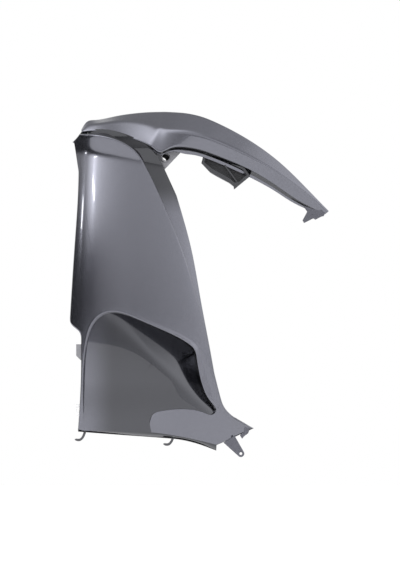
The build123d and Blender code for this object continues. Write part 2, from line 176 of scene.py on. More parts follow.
def strip_depth(x, z):
    """Depth of the flange strip: the main face set back by a step that dies out further down and
    grows again where the top flares forward."""
    step = STRIP_STEP * fade(z, *STRIP_STEP_HEIGHTS) + STRIP_TOP_STEP * fade(z, *STRIP_TOP_HEIGHTS)
    return face_depth(x, z) + step


def scoop_depth(x, z):
    """Depth of the scoop's floor: a small step behind the face that dies out at the bottom, and a
    slope that starts at a slanting fold and leads to the deep corner."""
    right_of_fold = (x - SCOOP_FOLD_X) * np.sin(SCOOP_FOLD_TURN)
    above_fold = (z - SCOOP_FOLD_Z) * np.cos(SCOOP_FOLD_TURN)
    slope = SCOOP_SLOPE * soft_ramp(right_of_fold + above_fold, SCOOP_SOFTNESS)
    return face_depth(x, z) + SCOOP_STEP * fade(z, *SCOOP_STEP_HEIGHTS) + slope


OUTER_RUNS = [LEFT_LOWER, LEFT_STEP, LEFT_UPPER, LEFT_SHOULDER, LEFT_TOP, CONTOUR, RIGHT_MIDDLE,
              RIGHT_LOWER, WING_EDGE, BOTTOM]
OUTER_COUNTS = [46, 18, 60, 12, 8, 150, 30, 44, 26, 44]
outer = chain(OUTER_RUNS, OUTER_COUNTS)
corner = np.cumsum([0] + OUTER_COUNTS)
contour_first, contour_last = corner[5], corner[6]

# Where the lip's line meets the outline's corners: a point of the lip for each place of the outline
lip_fine = chain([LIP, LOW_STEP], [3000, 1500])
lip_run = np.r_[0, np.cumsum(np.linalg.norm(np.diff(lip_fine, axis=0), axis=1))]
PARTNERS = [
    (0, (-147.5, -492)), (corner[1], (-142, -331)), (corner[2], (-138, -314)),
    (corner[3], (-118, -286)), (corner[4], (-115, -283.5)), (corner[5], (-113, -282.5)),
    (corner[5] + 42, (-53.5, -290)),
    (corner[5] + 90, (0.5, -313.5)), (corner[5] + 128, (40, -335)), (corner[6], (51, -345.5)),
    (corner[7], (65, -408)), (corner[7] + 16, (74.5, -431)), (corner[8], (88.5, -449.5)),
    (corner[9], (68, -459.5)), (corner[9] + 30, (-21, -461)), (corner[10], (-25, -495)),
]
partner_column = [column for column, _ in PARTNERS]
partner_run = [
    lip_run[np.argmin(np.linalg.norm(lip_fine - point, axis=1))] for _, point in PARTNERS]
lip_places = np.interp(np.arange(len(outer)), partner_column, partner_run)
lip = np.stack([np.interp(lip_places, lip_run, lip_fine[:, k]) for k in range(2)], axis=1)


def surface(plan, depth):
    """A grid of (X, Z) places with the depth of each, as X, Y, Z."""
    return np.stack([plan[..., 0], depth, plan[..., 1]], axis=-1)


ROUND_ROWS = 6


def rolled_edge(line, side, radius, depth, drop):
    """Rows from an edge's foot up its wall and over its round: each row is the line moved inwards
    by radius * (1 - sine) and back by radius * (1 - cosine) of the turn."""
    radius = np.broadcast_to(radius, len(line))
    rows = []
    for share in (1.0, 0.5):
        rows.append(surface(line, depth(*line.T) + radius + np.maximum(drop - radius, 0) * share))
    for angle in np.radians(np.linspace(90, 0, ROUND_ROWS)):
        place = beside(line, side * radius * (1 - np.sin(angle)))
        rows.append(surface(place, depth(*place.T) + radius * (1 - np.cos(angle))))
    return np.array(rows)


def between(first, last, count, depth, bias=0.0):
    """Rows of a depth surface from one line of places to another, without the two lines. A bias
    crowds the rows towards both lines."""
    share = np.linspace(0, 1, count + 2)[1:-1, None, None]
    share = share - bias * np.sin(2 * np.pi * share) / (2 * np.pi)
    plan = first * (1 - share) + last * share
    return surface(plan, depth(plan[..., 0], plan[..., 1]))


# How far the wall beside the face goes back: a turned edge, or the step down to the flange strip.
# A round is never larger than a share of the step that it softens.
ROUND_SHARE = 0.6
step = strip_depth(*outer.T) - face_depth(*outer.T)
columns = np.arange(len(outer))
on_contour = (columns > contour_first) & (columns < contour_last)
wall_drop = np.where(on_contour, step, np.where(columns > corner[9], WALL, RETURN_DEPTH))
edge_round = np.where(on_contour, np.minimum(STRIP_ROUND, ROUND_SHARE * step), EDGE_ROUND)

# The lip flares forward over the scoop, most at its upper right, and dies out at both ends. Each
# row gives a distance along the lip, the flare's height there and its width.
LIP_FLARE = [
    (0, 0.5, 4), (200, 0.6, 5), (280, 0.7, 6), (330, 1.8, 7), (400, 3.5, 10), (455, 5.5, 15),
    (480, 4.6, 14), (520, 0.8, 7), (1000, 0.0, 5),
]


def lip_flared(away):
    """How far forward of the face the lip's border lies at a distance away from the lip's line: a
    curve that leaves the face smoothly and reaches the flare's whole height at the line."""
    flare_run, flare_height, flare_width = np.transpose(LIP_FLARE)
    height = np.interp(lip_places, flare_run, flare_height)
    share = np.clip(1 - away / np.interp(lip_places, flare_run, flare_width), 0, 1)
    return -height * share * share * (1.5 - 0.5 * share)


LEAST_STEP = 0.2
FACE_ROWS, FLOOR_ROWS, STRIP_ROWS = 64, 40, 12
lip_step = scoop_depth(*lip.T) - face_depth(*lip.T)
lip_round = np.minimum(LIP_ROUND, ROUND_SHARE * np.maximum(lip_step, LEAST_STEP))
outer_rows = rolled_edge(outer, 1, edge_round, face_depth, wall_drop)
lip_rows = rolled_edge(lip, -1, lip_round, face_depth, lip_step - LIP_FOOT_GAP)[::-1]
middle = between(beside(outer, edge_round), beside(lip, -lip_round), FACE_ROWS, face_depth)
face_rows = np.concatenate([outer_rows, middle, lip_rows])
away = np.linalg.norm(face_rows[..., [0, 2]] - lip[None], axis=-1)
face_rows[..., 1] += lip_flared(away)

# The floor of the scoop runs from the lip's foot to a line up its middle
SPINE = [(-86, -493.5), (-70, -450), (-45, -400), (-25, -372)]
FLOOR_BIAS = 0.4
half = (len(lip) + 1) // 2
spine_half = smooth_curve(SPINE, half)
spine = np.concatenate([spine_half, spine_half[::-1][len(lip) % 2:]])
floor_rows = between(lip, spine, FLOOR_ROWS, scoop_depth, FLOOR_BIAS)
floor_rows = np.concatenate(
    [face_rows[-1:], floor_rows, surface(spine, scoop_depth(*spine.T))[None]])

# The flange strip, from the foot of the face's step to its own turned edge under the arm
STRIP_EDGE_ROUND = 1.2
STRIP_OUTER = [
    [(-156, 42.6), (-153, 46.5)],
    [(-153, 46.5), (-120, 51), (-80, 44), (-32, 20), (-12, -2), (-2, -22)],
    [(-2, -22), (6.5, -40.5), (19.5, -69)],
    [(19.5, -69), (26, -91), (46, -165), (63, -257), (72.8, -309)],
]
strip_outer = chain(STRIP_OUTER, [4, 56, 22, 68])
strip_inner = outer[contour_first:contour_last + 1]
strip_round = np.full(len(strip_outer), STRIP_EDGE_ROUND)
strip_edge = rolled_edge(strip_outer, 1, strip_round, strip_depth, RETURN_DEPTH)
strip_middle = between(beside(strip_outer, strip_round), strip_inner, STRIP_ROWS, strip_depth)
strip_rows = np.concatenate(
    [strip_edge, strip_middle, surface(strip_inner, strip_depth(*strip_inner.T))[None]])


def inner_rows(line, side, depths):
    """The same place beside a line at several depths: the hidden side of a wall."""
    place = beside(line, side * WALL)
    return np.array([surface(place, depth) for depth in depths])


# The hidden side lies one wall behind the painted one and keeps square corners
HIDDEN_FACE_ROWS, HIDDEN_FLOOR_ROWS, HIDDEN_STRIP_ROWS = 24, 16, 5
inset = beside(outer, WALL)
face_back = face_depth(*inset.T) + WALL
edge_back = np.where(on_contour, strip_depth(*inset.T) + WALL, face_depth(*inset.T) + wall_drop)
lip_outset = beside(lip, -WALL)
hidden_middle = between(inset, lip_outset, HIDDEN_FACE_ROWS, face_depth)
hidden_floor = between(lip_outset, spine, HIDDEN_FLOOR_ROWS, scoop_depth)
hidden_rows = np.concatenate([
    inner_rows(outer, 1, [edge_back, face_back]),
    hidden_middle + [0, WALL, 0],
    inner_rows(lip, -1, [face_depth(*lip_outset.T) + WALL, scoop_depth(*lip_outset.T) + WALL]),
    hidden_floor + [0, WALL, 0],
    surface(spine, scoop_depth(*spine.T) + WALL)[None],
])
strip_inset = beside(strip_outer, WALL)
strip_foot = inset[contour_first:contour_last + 1]
strip_hidden = np.concatenate([
    inner_rows(strip_outer, 1, [strip_depth(*strip_inset.T) + RETURN_DEPTH,
                                strip_depth(*strip_inset.T) + WALL]),
    between(strip_inset, strip_foot, HIDDEN_STRIP_ROWS, strip_depth) + [0, WALL, 0],
    surface(strip_foot, strip_depth(*strip_foot.T) + WALL)[None],
])


def rim(first, last):
    """The narrow edge between the painted side's last row and the hidden side's."""
    return np.array([last, first])


def skirt(column):
    """The sheet's thickness along one side of a patch."""
    return np.array([column, column + [0, WALL, 0]])


# Each grid of the moulding is listed with the number of its finish, in the order of the finishes
PAINT, PLASTIC, PALE, WHITE, DARK, SLOPE, BORE, STRIP, UNDER, SCOOP = range(10)
face_rim = rim(face_rows[0], hidden_rows[0])
grids = [
    (face_rows, PAINT), (floor_rows, SCOOP), (strip_rows, STRIP),
    (hidden_rows[::-1], PLASTIC), (strip_hidden[::-1], PLASTIC),
    (face_rim[:, :contour_first + 1], PLASTIC), (face_rim[:, contour_last:], PLASTIC),
    (rim(strip_rows[0], strip_hidden[0]), PLASTIC),
    (skirt(face_rows[::-1, 0]), PAINT),
    (skirt(floor_rows[::-1, 0]), PAINT), (skirt(floor_rows[:, -1]), PAINT),
]

# The band that turns under along the bottom edge of the same moulding, from behind the face's foot
# back and down. Its lacquer is darkened all over as painted shade, for the shade under the edge.
BAND_TOP = [(-158, -490), (-70, -492.5), (-25, -495), (15, -501), (61.5, -511), (91.5, -519)]
BAND_FOOT = [(-158, -494), (-70, -500), (-3, -505), (24.5, -508), (61.5, -517.5), (91, -529)]
BAND_BACK = 11.0
BAND_THICK = 4.0
BAND_BEND = 1.5
BAND_OVERLAP = [0, 1.5]
BAND_BEHIND_FACE = 0.6
BAND_EDGE = np.array([0, 1.0, -0.4])
BAND_COLUMNS, BAND_ROWS = 120, 9
band_top = smooth_curve(BAND_TOP, BAND_COLUMNS)
band_foot = smooth_curve(BAND_FOOT, BAND_COLUMNS)
band_front = face_depth(*band_top.T) + BAND_BEHIND_FACE
band_rows = [surface(band_top + BAND_OVERLAP, band_front)]
for share in np.linspace(0, 1, BAND_ROWS):
    place = band_top * (1 - share) + band_foot * share
    band_rows.append(surface(place, band_front + BAND_BACK * share ** BAND_BEND))
band_rows.append(band_rows[-1] + BAND_EDGE)
band_rows.append(band_rows[-1] + [0, BAND_THICK, 0] - BAND_EDGE)
band_rows.append(surface(band_top + BAND_OVERLAP, band_front + BAND_THICK))
grids.append((np.array(band_rows)[:, ::-1], UNDER))

# The arm over the lamp opening, part of the same moulding: a folded section carried along stations
# from the left corner to the tip. Each gives X, Y, Z of its top edge, crease, lower edge, the foot
# of the dark slope under it and the narrow ledge.
ARM_SETBACK = 10.0
LEDGE_RETURN = 12.0
STEEP_WALL = 4.5
ARM = np.array([
    [(-152.5, 8, 51), (-152.3, 2, 48.5), (-152, -1, 46.5), (-151.5, 4, 45), (-151, 5, 43.5)],
    [(-143.5, 12.5, 64.5), (-141, -1, 55.5), (-140, -6, 47.2), (-140, 1, 45.2), (-140, 3, 43.8)],
    [(-127.5, 16, 68.5), (-124, -2, 60), (-122, -12, 47.5), (-122, -5, 45.5), (-122, -3, 44)],
    [(-86, 22, 76.5), (-84, 2, 65), (-84, -18, 41), (-84, -11, 38.8), (-84, -9, 37)],
    [(-34, 20, 82.5), (-43, -8, 60.5), (-52, -26, 30.5), (-53, -18, 28), (-54, -16, 26)],
    [(-8, 14.5, 83), (-17.5, -22, 53), (-31, -31.2, 21.5), (-32, -22, 18.8), (-33, -20.5, 16.8)],
    [(-3, 13, 83), (-12.5, -25.6, 51.7), (-26.5, -32.6, 19), (-27.5, -23, 16.2), (-28, -21.5, 14.2)],
    [(2, 11.5, 82.8), (-8, -27.4, 50.5), (-22.5, -33.2, 16), (-23, -23.5, 13.4), (-23.5, -22, 11.4)],
    [(22, 5, 81.5), (2, -31, 48), (-11, -34, 8), (-10, -24, 6), (-9.5, -22.5, 4)],
    [(42, 0, 79), (20, -34, 46.5), (7, -33, 15), (8, -23, 11), (9, -21.5, 9.3)],
    [(66, -4.5, 73), (42, -35, 44), (28, -32, 18.5), (29.5, -21.5, 12), (30.5, -20, 6.5)],
    [(96, -7, 60.5), (69, -35, 36.5), (54.5, -30, 15), (53, -19, 8.5), (51.5, -18, 3.5)],
    [(142.5, -4, 36), (112, -29, 19.5), (97.5, -25, 1), (95, -14, -5.5), (92.5, -13, -10)],
    [(196.5, 6, -1), (166, -17, -6), (151.5, -13, -22), (148.5, -3, -29), (146, -2, -33.5)],
    [(241.5, 16, -42), (220, 1, -38.5), (202, 4, -52), (199, 12, -57.5), (197, 13, -60.5)],
    [(274, 25, -75), (258, 17, -67), (241.5, 19, -78), (238.5, 25.5, -82), (236.5, 26, -84.5)],
    [(295, 32.5, -96), (292.5, 30.5, -98.5), (288.5, 31, -101.5), (287, 35.5, -102.5),
     (285.5, 36.5, -103.5)],
], float) + [0, ARM_SETBACK, 0]
ARM_COLUMNS = 200
arm = smooth_curve(ARM.reshape(len(ARM), -1), ARM_COLUMNS)
arm = arm.reshape(ARM_COLUMNS, -1, 3).transpose(1, 0, 2)


FOLD_SHARE = 0.45


def folded(corners, rounds, flats, fold_rows):
    """Rows of a section folded at its corners: each fold is the quadratic curve that starts a
    round's length before the corner, or a share of the flat part where that is shorter, and ends
    as far after it. Each flat part has its own count of rows."""
    before = corners[1:-1] - corners[:-2]
    after = corners[2:] - corners[1:-1]
    before_length = np.linalg.norm(before, axis=2, keepdims=True)
    after_length = np.linalg.norm(after, axis=2, keepdims=True)
    reach = np.broadcast_to(np.asarray(rounds, float)[:, None, None], before_length.shape)
    reach = np.minimum(reach, FOLD_SHARE * np.minimum(before_length, after_length))
    start = corners[1:-1] - before / before_length * reach
    end = corners[1:-1] + after / after_length * reach
    rows = [corners[:1]]
    leave = corners[0]
    turn = np.linspace(0, 1, fold_rows)[:, None, None]
    for k, count in enumerate(flats[:-1]):
        share = np.linspace(0, 1, count + 2)[1:-1, None, None]
        rows.append(leave * (1 - share) + start[k] * share)
        towards_corner = start[k] * (1 - turn) + corners[k + 1] * turn
        from_corner = corners[k + 1] * (1 - turn) + end[k] * turn
        rows.append(towards_corner * (1 - turn) + from_corner * turn)
        leave = end[k]
    share = np.linspace(0, 1, flats[-1] + 2)[1:, None, None]
    rows.append(leave * (1 - share) + corners[-1] * share)
    return np.concatenate(rows)


def inward(line, towards, amount):
    """A line of the arm moved in the plan towards its crease."""
    way = (towards - line) * [1, 0, 1]
    return line + way / np.linalg.norm(way, axis=1, keepdims=True) * amount


top, crease, lower, foot, ledge = arm
back = np.array([0, 1.0, 0])
ARM_ROUNDS = [2.2, 5.0, 3.0, 2.0, 1.0]
ARM_FLATS = [2, 10, 14, 3, 1, 2]
ARM_FOLD_ROWS = 6
HIDDEN_ARM_FLATS = [1, 2, 3, 1, 1, 1]
arm_front = folded(
    np.array([top + back * RETURN_DEPTH, top, crease, lower, foot, ledge,
              ledge + back * LEDGE_RETURN]),
    ARM_ROUNDS, ARM_FLATS, ARM_FOLD_ROWS)
# The narrow slope under the lower edge has its lacquer darkened as painted shade, more towards the
# right.
# It runs from the middle of the lower edge's fold to just inside the fold at its foot.
lower_fold = 1 + sum(ARM_FLATS[:3]) + 2 * ARM_FOLD_ROWS
foot_fold = lower_fold + ARM_FOLD_ROWS + ARM_FLATS[3]
slope_first, slope_last = lower_fold + ARM_FOLD_ROWS // 2, foot_fold + 2
SHARP_CORNER = 0.1
top_inside = inward(top, crease, WALL)
ledge_inside = inward(ledge, crease, 0.5 * WALL)
arm_hidden = folded(
    np.array([top_inside + back * RETURN_DEPTH, top_inside + back * STEEP_WALL, crease + back * WALL,
              lower + back * WALL, foot + back * STEEP_WALL, ledge_inside + back * STEEP_WALL,
              ledge_inside + back * LEDGE_RETURN]),
    [SHARP_CORNER] * 5, HIDDEN_ARM_FLATS, fold_rows=2)
grids += [
    (arm_front[:slope_first + 1], PAINT), (arm_front[slope_first:slope_last + 1], SLOPE),
    (arm_front[slope_last:], PAINT), (arm_hidden[::-1], PLASTIC),
    (rim(arm_front[0], arm_hidden[0]), PLASTIC),
    (rim(arm_hidden[-1], arm_front[-1]), PLASTIC),
    (skirt(arm_front[::-1, 0]), PAINT), (skirt(arm_front[:, -1]), PAINT),
]


SHARP_TURN = np.radians(38)
MERGE_WITHIN, THINNEST = 0.004 * MM, 0.003 * MM


def mesh_of(name, parts, finishes):
    """One mesh from grids of rows: each cell is a face, doubled points are merged, and every edge
    that turns by more than the sharp angle stays crisp."""
    places, faces, kinds, first = [], [], [], 0
    for rows, kind in parts:
        count, width = rows.shape[:2]
        index = first + np.arange(count * width).reshape(count, width)
        cells = [index[:-1, :-1], index[:-1, 1:], index[1:, 1:], index[1:, :-1]]
        cells = np.stack(cells, axis=-1).reshape(-1, 4)
        places.append(rows.reshape(-1, 3))
        faces.append(cells)
        kinds.append(np.full(len(cells), kind))
        first += count * width
    mesh = bpy.data.meshes.new(name)
    mesh.from_pydata((np.concatenate(places) * MM).tolist(), [], np.concatenate(faces).tolist())
    mesh.polygons.foreach_set("material_index", np.concatenate(kinds))
    work = bmesh.new()
    work.from_mesh(mesh)
    bmesh.ops.remove_doubles(work, verts=work.verts, dist=MERGE_WITHIN)
    bmesh.ops.dissolve_degenerate(work, edges=work.edges, dist=THINNEST)
    work.to_mesh(mesh)
    work.free()
    mesh.polygons.foreach_set("use_smooth", np.ones(len(mesh.polygons), bool))
    mesh.set_sharp_from_angle(angle=SHARP_TURN)
    for finish in finishes:
        mesh.materials.append(finish)
    piece = bpy.data.objects.new(name, mesh)
    bpy.context.scene.collection.objects.link(piece)
    return piece


# Small parts of the same moulding: the plate that ties the arm to the body with the upper screw's
# leaning collar, the lower lug, the edge tabs, and two hooks under the bottom edge. The plates are
# flat, 2.5 to 3 mm thick, with slightly rounded edges.
GUSSET = [
    (-30, 14), (-14, 14), (10, 14), (32, 16), (30, 7), (25.5, 7), (-2, -22), (-8, -34), (-26, -12),
]
GUSSET_THICK = 3.0
UPPER_BORE_R = 6.5
COLLAR_WALL = 2.5
COLLAR_LENGTH = 16.5
COLLAR_WAY = np.array([-np.tan(np.radians(21)), 1.0, -np.tan(np.radians(24))])
LUG_CENTRE = (135.5, -535.0)
LUG_ROOT = [(104, -515), (124, -502)]
LUG_R = 6.3
LUG_BORE_R = 2.6
LUG_THICK = 3.0
LUG_SET_BACK = 9
LEFT_EAR = [(-148, -336.5), (-161, -336.5), (-161, -357), (-153, -365), (-148, -365)]
LEFT_TONGUE = [
    (-146, -444.5), (-164.5, -444.5), (-163, -461), (-160, -465.5), (-155.5, -466), (-146, -460),
]
TONGUE_SLOT = [(-156, -450), (-161, -450), (-160, -459), (-156, -459)]
TIP_TAB = [
    (246, -84), (255.5, -97.5), (247, -113), (250, -118), (266.5, -109.5), (270.5, -112),
    (280.5, -106.5), (285.5, -105.5), (288, -100), (280, -92),
]
TIP_TAB_MIDDLE = (265, -102)
TIP_TAB_FRONT = 38.0
WING_TAB = [
    (133, -490), (136.5, -499), (134, -503), (138, -509), (141, -505), (149, -499), (153, -488),
]
HOOK_PATH = [(2, 6), (-1, -5), (-8, -13), (-17, -12)]
HOOK_ROOTS = [(-147.0, -496.0), (12.5, -504.0)]
HOOK_WIDTH, HOOK_THICK, HOOK_BEVEL, HOOK_STEPS = 12.0, 4.2, 0.8, 26
TAB_THICK = 2.5
TAB_SET_BACK = 8
PLATE_BEVEL = 0.5
PLATE_RAYS, COLLAR_SIDES, LUG_STEPS = 48, 48, 25
POINT_R = 0.02
PARALLEL, TOUCHING = 1e-9, 1e-6


def around(outline, centre, turns):
    """Where rays from a centre, at these turns, leave a closed outline of straight sides."""
    start = np.asarray(outline, float) - centre
    side = np.roll(start, -1, axis=0) - start
    ray = np.stack([np.cos(turns), np.sin(turns)], axis=1)
    cross = ray[:, None, 0] * side[None, :, 1] - ray[:, None, 1] * side[None, :, 0]
    cross = np.where(np.abs(cross) < PARALLEL, PARALLEL, cross)
    far = (start[:, 0] * side[:, 1] - start[:, 1] * side[:, 0]) / cross
    share = (start[None, :, 0] * ray[:, None, 1] - start[None, :, 1] * ray[:, None, 0]) / cross
    met = (share > -TOUCHING) & (share < 1 + TOUCHING) & (far > 0)
    return ray * np.where(met, far, np.inf).min(axis=1)[:, None] + centre


def outwards(line, centre, amount):
    """A line of places moved away from a centre by an amount."""
    way = line - centre
    return centre + way * (1 + amount / np.linalg.norm(way, axis=1))[:, None]


def plate(outline, front, thickness, hole):
    """A flat plate with a hole, as one closed grid: front face, outer edge, back face, hole's wall.
    The outline and the hole are read along the same rays from the hole's middle."""
    centre = np.mean(hole, axis=0)
    corners = np.concatenate([outline, hole]) - centre
    even_turns = np.linspace(-np.pi, np.pi, PLATE_RAYS, endpoint=False)
    turns = np.concatenate([even_turns, np.arctan2(corners[:, 1], corners[:, 0])])
    turns = np.unique(np.round(turns, 5))
    turns = np.r_[turns, turns[0] + 2 * np.pi]
    edge = around(outline, centre, turns)
    inside = around(hole, centre, turns)
    border = outwards(edge, centre, -PLATE_BEVEL)
    mouth = outwards(inside, centre, PLATE_BEVEL)
    middle = (mouth + border) / 2
    low, high = PLATE_BEVEL, thickness - PLATE_BEVEL
    rows = [(inside, low), (mouth, 0), (middle, 0), (border, 0), (edge, low), (edge, high),
            (border, thickness), (middle, thickness), (mouth, thickness), (inside, high),
            (inside, low)]
    return np.array([surface(line, np.full(len(line), front + depth)) for line, depth in rows])


def ring(centre, radius, count=48):
    """A circle of places in the plan."""
    turn = np.linspace(0, 2 * np.pi, count, endpoint=False)
    return np.stack([centre[0] + radius * np.cos(turn), centre[1] + radius * np.sin(turn)], axis=1)


def pin_hole(centre):
    """A hole too small to see, for a plate with no hole."""
    return ring(centre, POINT_R, 8)


def collar():
    """The upper screw's collar: a round tube along its own leaning axis, bored right through. Its
    section is given as radius and depth, with its edges broken by 0.2 to 0.5 mm."""
    way = COLLAR_WAY / np.linalg.norm(COLLAR_WAY)
    across = np.cross(way, [0, 0, 1.0])
    across /= np.linalg.norm(across)
    up = np.cross(across, way)
    turn = np.linspace(0, 2 * np.pi, COLLAR_SIDES + 1)[:, None]
    circle = across * np.cos(turn) + up * np.sin(turn)
    outside = UPPER_BORE_R + COLLAR_WALL
    shell = [(UPPER_BORE_R, 0.2), (UPPER_BORE_R + 0.3, 0), (outside - 0.5, 0), (outside, 0.4),
             (outside, COLLAR_LENGTH - 0.4), (outside - 0.4, COLLAR_LENGTH),
             (UPPER_BORE_R + 0.2, COLLAR_LENGTH), (UPPER_BORE_R, COLLAR_LENGTH - 0.2)]
    bore = [shell[-1], (UPPER_BORE_R, COLLAR_LENGTH / 2), shell[0]]
    return [np.array([circle * radius + way * depth for radius, depth in rows])
            for rows in (shell, bore)]


def lug_outline():
    """The lug's tapering sides from its root, closed round the screw hole by an arc."""
    centre = np.array(LUG_CENTRE)
    ends = []
    for root, turn in ((np.array(LUG_ROOT[0]), 1), (np.array(LUG_ROOT[1]), -1)):
        away = root - centre
        ends.append(np.arctan2(away[1], away[0]) + turn * np.arccos(LUG_R / np.linalg.norm(away)))
    turn = np.linspace(ends[0], ends[1] + 2 * np.pi, LUG_STEPS)
    arc = centre + LUG_R * np.stack([np.cos(turn), np.sin(turn)], axis=1)
    return np.concatenate([[LUG_ROOT[0]], arc, [LUG_ROOT[1]]])


def hook(root):
    """A strip that leaves the bottom edge and curls to the left: a section with broken edges along
    a curve. The strip's thickness falls off steeply near its free end, which rounds it."""
    path = smooth_curve(np.array(HOOK_PATH) + root, HOOK_STEPS)
    front = face_depth(*root) + BAND_BACK - WALL
    fall = np.clip(1 - np.linspace(-0.1, 1, HOOK_STEPS) ** 12, 0.02, 1)
    half = HOOK_THICK / 2 * np.sqrt(fall)
    low, high = HOOK_BEVEL, HOOK_WIDTH - HOOK_BEVEL
    section = [(1, low), (0.7, 0), (-0.7, 0), (-1, low), (-1, high), (-0.7, HOOK_WIDTH),
               (0.7, HOOK_WIDTH), (1, high), (1, low)]
    return np.array([surface(beside(path, half * side), np.full(HOOK_STEPS, front + depth))
                     for side, depth in section])


# Two round bosses of the same moulding behind the arm, by X, Z and depth of their front end, bored
# for the bracket's screws
BOSS_PLACES = [(88, 17, -18.5), (126, 3, -12)]
BOSS_R, BOSS_BACK, BOSS_BEVEL, BOSS_SIDES = 4.6, 18.0, 0.3, 32
PILOT_R, PILOT_DEPTH = 1.75, 10


def boss(x, z, front):
    """One boss as a closed grid of rings: its front end, its side, its back end and its bore."""
    bottom = BOSS_BACK - PILOT_DEPTH
    section = [(POINT_R, front), (BOSS_R, front), (BOSS_R, BOSS_BACK - BOSS_BEVEL),
               (BOSS_R - BOSS_BEVEL, BOSS_BACK), (PILOT_R, BOSS_BACK), (PILOT_R, bottom),
               (POINT_R, bottom)]
    rows = []
    for radius, depth in section:
        circle = ring((x, z), radius, BOSS_SIDES)
        rows.append(surface(np.r_[circle, circle[:1]], np.full(BOSS_SIDES + 1, depth)))
    return np.array(rows)


# The plate's hole is a little wider than the bore, so the collar's wall closes it
GUSSET_HOLE_R = UPPER_BORE_R + 1.0
lug_front = face_depth(*LUG_ROOT[0]) + LUG_SET_BACK
ear_front, tongue_front, wing_tab_front = [
    face_depth(*tab[0]) + TAB_SET_BACK for tab in (LEFT_EAR, LEFT_TONGUE, WING_TAB)]
collar_shell, collar_bore = collar()
grids += [
    (plate(GUSSET, 0, GUSSET_THICK, ring((0, 0), GUSSET_HOLE_R)), PALE),
    (collar_shell, PALE), (collar_bore, BORE),
    (plate(lug_outline(), lug_front, LUG_THICK, ring(LUG_CENTRE, LUG_BORE_R)), PAINT),
    (plate(LEFT_EAR, ear_front, TAB_THICK, pin_hole(np.mean(LEFT_EAR, axis=0))), PALE),
    (plate(LEFT_TONGUE, tongue_front, TAB_THICK, TONGUE_SLOT), WHITE),
    (plate(TIP_TAB, TIP_TAB_FRONT, TAB_THICK, pin_hole(TIP_TAB_MIDDLE)), PAINT),
    (plate(WING_TAB, wing_tab_front, TAB_THICK, pin_hole(np.mean(WING_TAB, axis=0))), PAINT),
]
grids += [(hook(root), DARK) for root in HOOK_ROOTS]
grids += [(boss(*place), PLASTIC) for place in BOSS_PLACES]


class Value:
    """A number that varies over a surface. Sums, products and so on add their own Math nodes."""

    def __init__(self, tree, socket):
        self.tree = tree
        self.socket = socket

    def math(self, operation, *values):
        node = self.tree.nodes.new("ShaderNodeMath")
        node.operation = operation
        for slot, value in zip(node.inputs, values):
            if isinstance(value, Value):
                self.tree.links.new(value.socket, slot)
            else:
                slot.default_value = value
        return Value(self.tree, node.outputs[0])

    def __add__(self, other):
        return self.math("ADD", self, other)

    def __sub__(self, other):
        return self.math("SUBTRACT", self, other)

    def __rsub__(self, other):
        return self.math("SUBTRACT", other, self)

    def __mul__(self, other):
        return self.math("MULTIPLY", self, other)

    __radd__ = __add__
    __rmul__ = __mul__


class Finish:
    """A surface finish in the making: its material, its shader and the methods that add nodes."""

    def __init__(self, name):
        self.material = bpy.data.materials.new(name)
        self.material.use_nodes = True
        self.tree = self.material.node_tree
        self.shader = self.tree.nodes["Principled BSDF"]

    def node(self, kind, sockets, output=0, **settings):
        """A node of a kind with its inputs and settings, and one of its outputs as a value."""
        node = self.tree.nodes.new("ShaderNode" + kind)
        for name, setting in settings.items():
            setattr(node, name, setting)
        for name, value in sockets.items():
            self.put(node.inputs[name], value)
        return Value(self.tree, node.outputs[output])

    def ramp(self, value, start, end, low=0.0, high=1.0):
        """A smooth step between two numbers while a value goes from start to end."""
        sockets = {"Value": value, "From Min": start, "From Max": end, "To Min": low, "To Max": high}
        return self.node("MapRange", sockets, interpolation_type="SMOOTHSTEP")

    def blend(self, share, first, second):
        """A colour between two. A Mix node's colours are its inputs 6 and 7 and its output 2."""
        return self.node("Mix", {0: share, 6: first, 7: second}, output=2, data_type="RGBA")

    def ray(self, kind):
        """1 for rays of one kind, Camera, Glossy or Transmission, and 0 for all others."""
        return self.node("LightPath", {}, output=f"Is {kind} Ray")

    def put(self, slot, value):
        if isinstance(value, Value):
            self.tree.links.new(value.socket, slot)
        else:
            slot.default_value = value

    def set(self, **sockets):
        for name, value in sockets.items():
            self.put(self.shader.inputs[name.replace("_", " ")], value)
        return self.material


DARK_FLAKE, BRIGHT_FLAKE = (0.092, 0.094, 0.112, 1), (0.142, 0.144, 0.168, 1)
# The near-black tone towards which the lacquer is darkened where it carries painted shade
PAINTED_SHADE_TONE = (0.026, 0.027, 0.031, 1)


def lacquer(name, painted_shade=None):
    """Metallic lacquer: flakes of differing brightness in a grey base under a clear, glossy coat.
    Painted shade, where asked for, darkens the base towards a near-black tone along one axis. It
    gives the axis, the two places in metres between which that changes, and how much of the dark
    tone shows at each."""
    finish = Finish(name)
    place = finish.node("TexCoord", {}, output="Object")
    flake = finish.node("TexVoronoi", {"Vector": place, "Scale": 1400.0}, output="Color")
    flake_light = finish.node("SeparateColor", {"Color": flake})
    cloud = finish.node("TexNoise", {"Vector": place, "Scale": 9.0, "Detail": 3.0})
    base = finish.blend(flake_light * 0.7 + cloud * 0.3, DARK_FLAKE, BRIGHT_FLAKE)
    if painted_shade:
        along_axis = finish.node("SeparateXYZ", {"Vector": place}, output=painted_shade[0])
        base = finish.blend(finish.ramp(along_axis, *painted_shade[1:]), base, PAINTED_SHADE_TONE)
    peel = finish.node("TexNoise", {"Vector": place, "Scale": 260.0, "Detail": 1.0})
    bump = finish.node("Bump", {"Strength": 0.02, "Distance": 0.001, "Height": peel})
    return finish.set(
        Base_Color=base, Metallic=0.95, Roughness=0.17 + flake_light * 0.08, Normal=bump,
        Coat_Weight=1.0, Coat_Roughness=0.03, Coat_IOR=1.5)


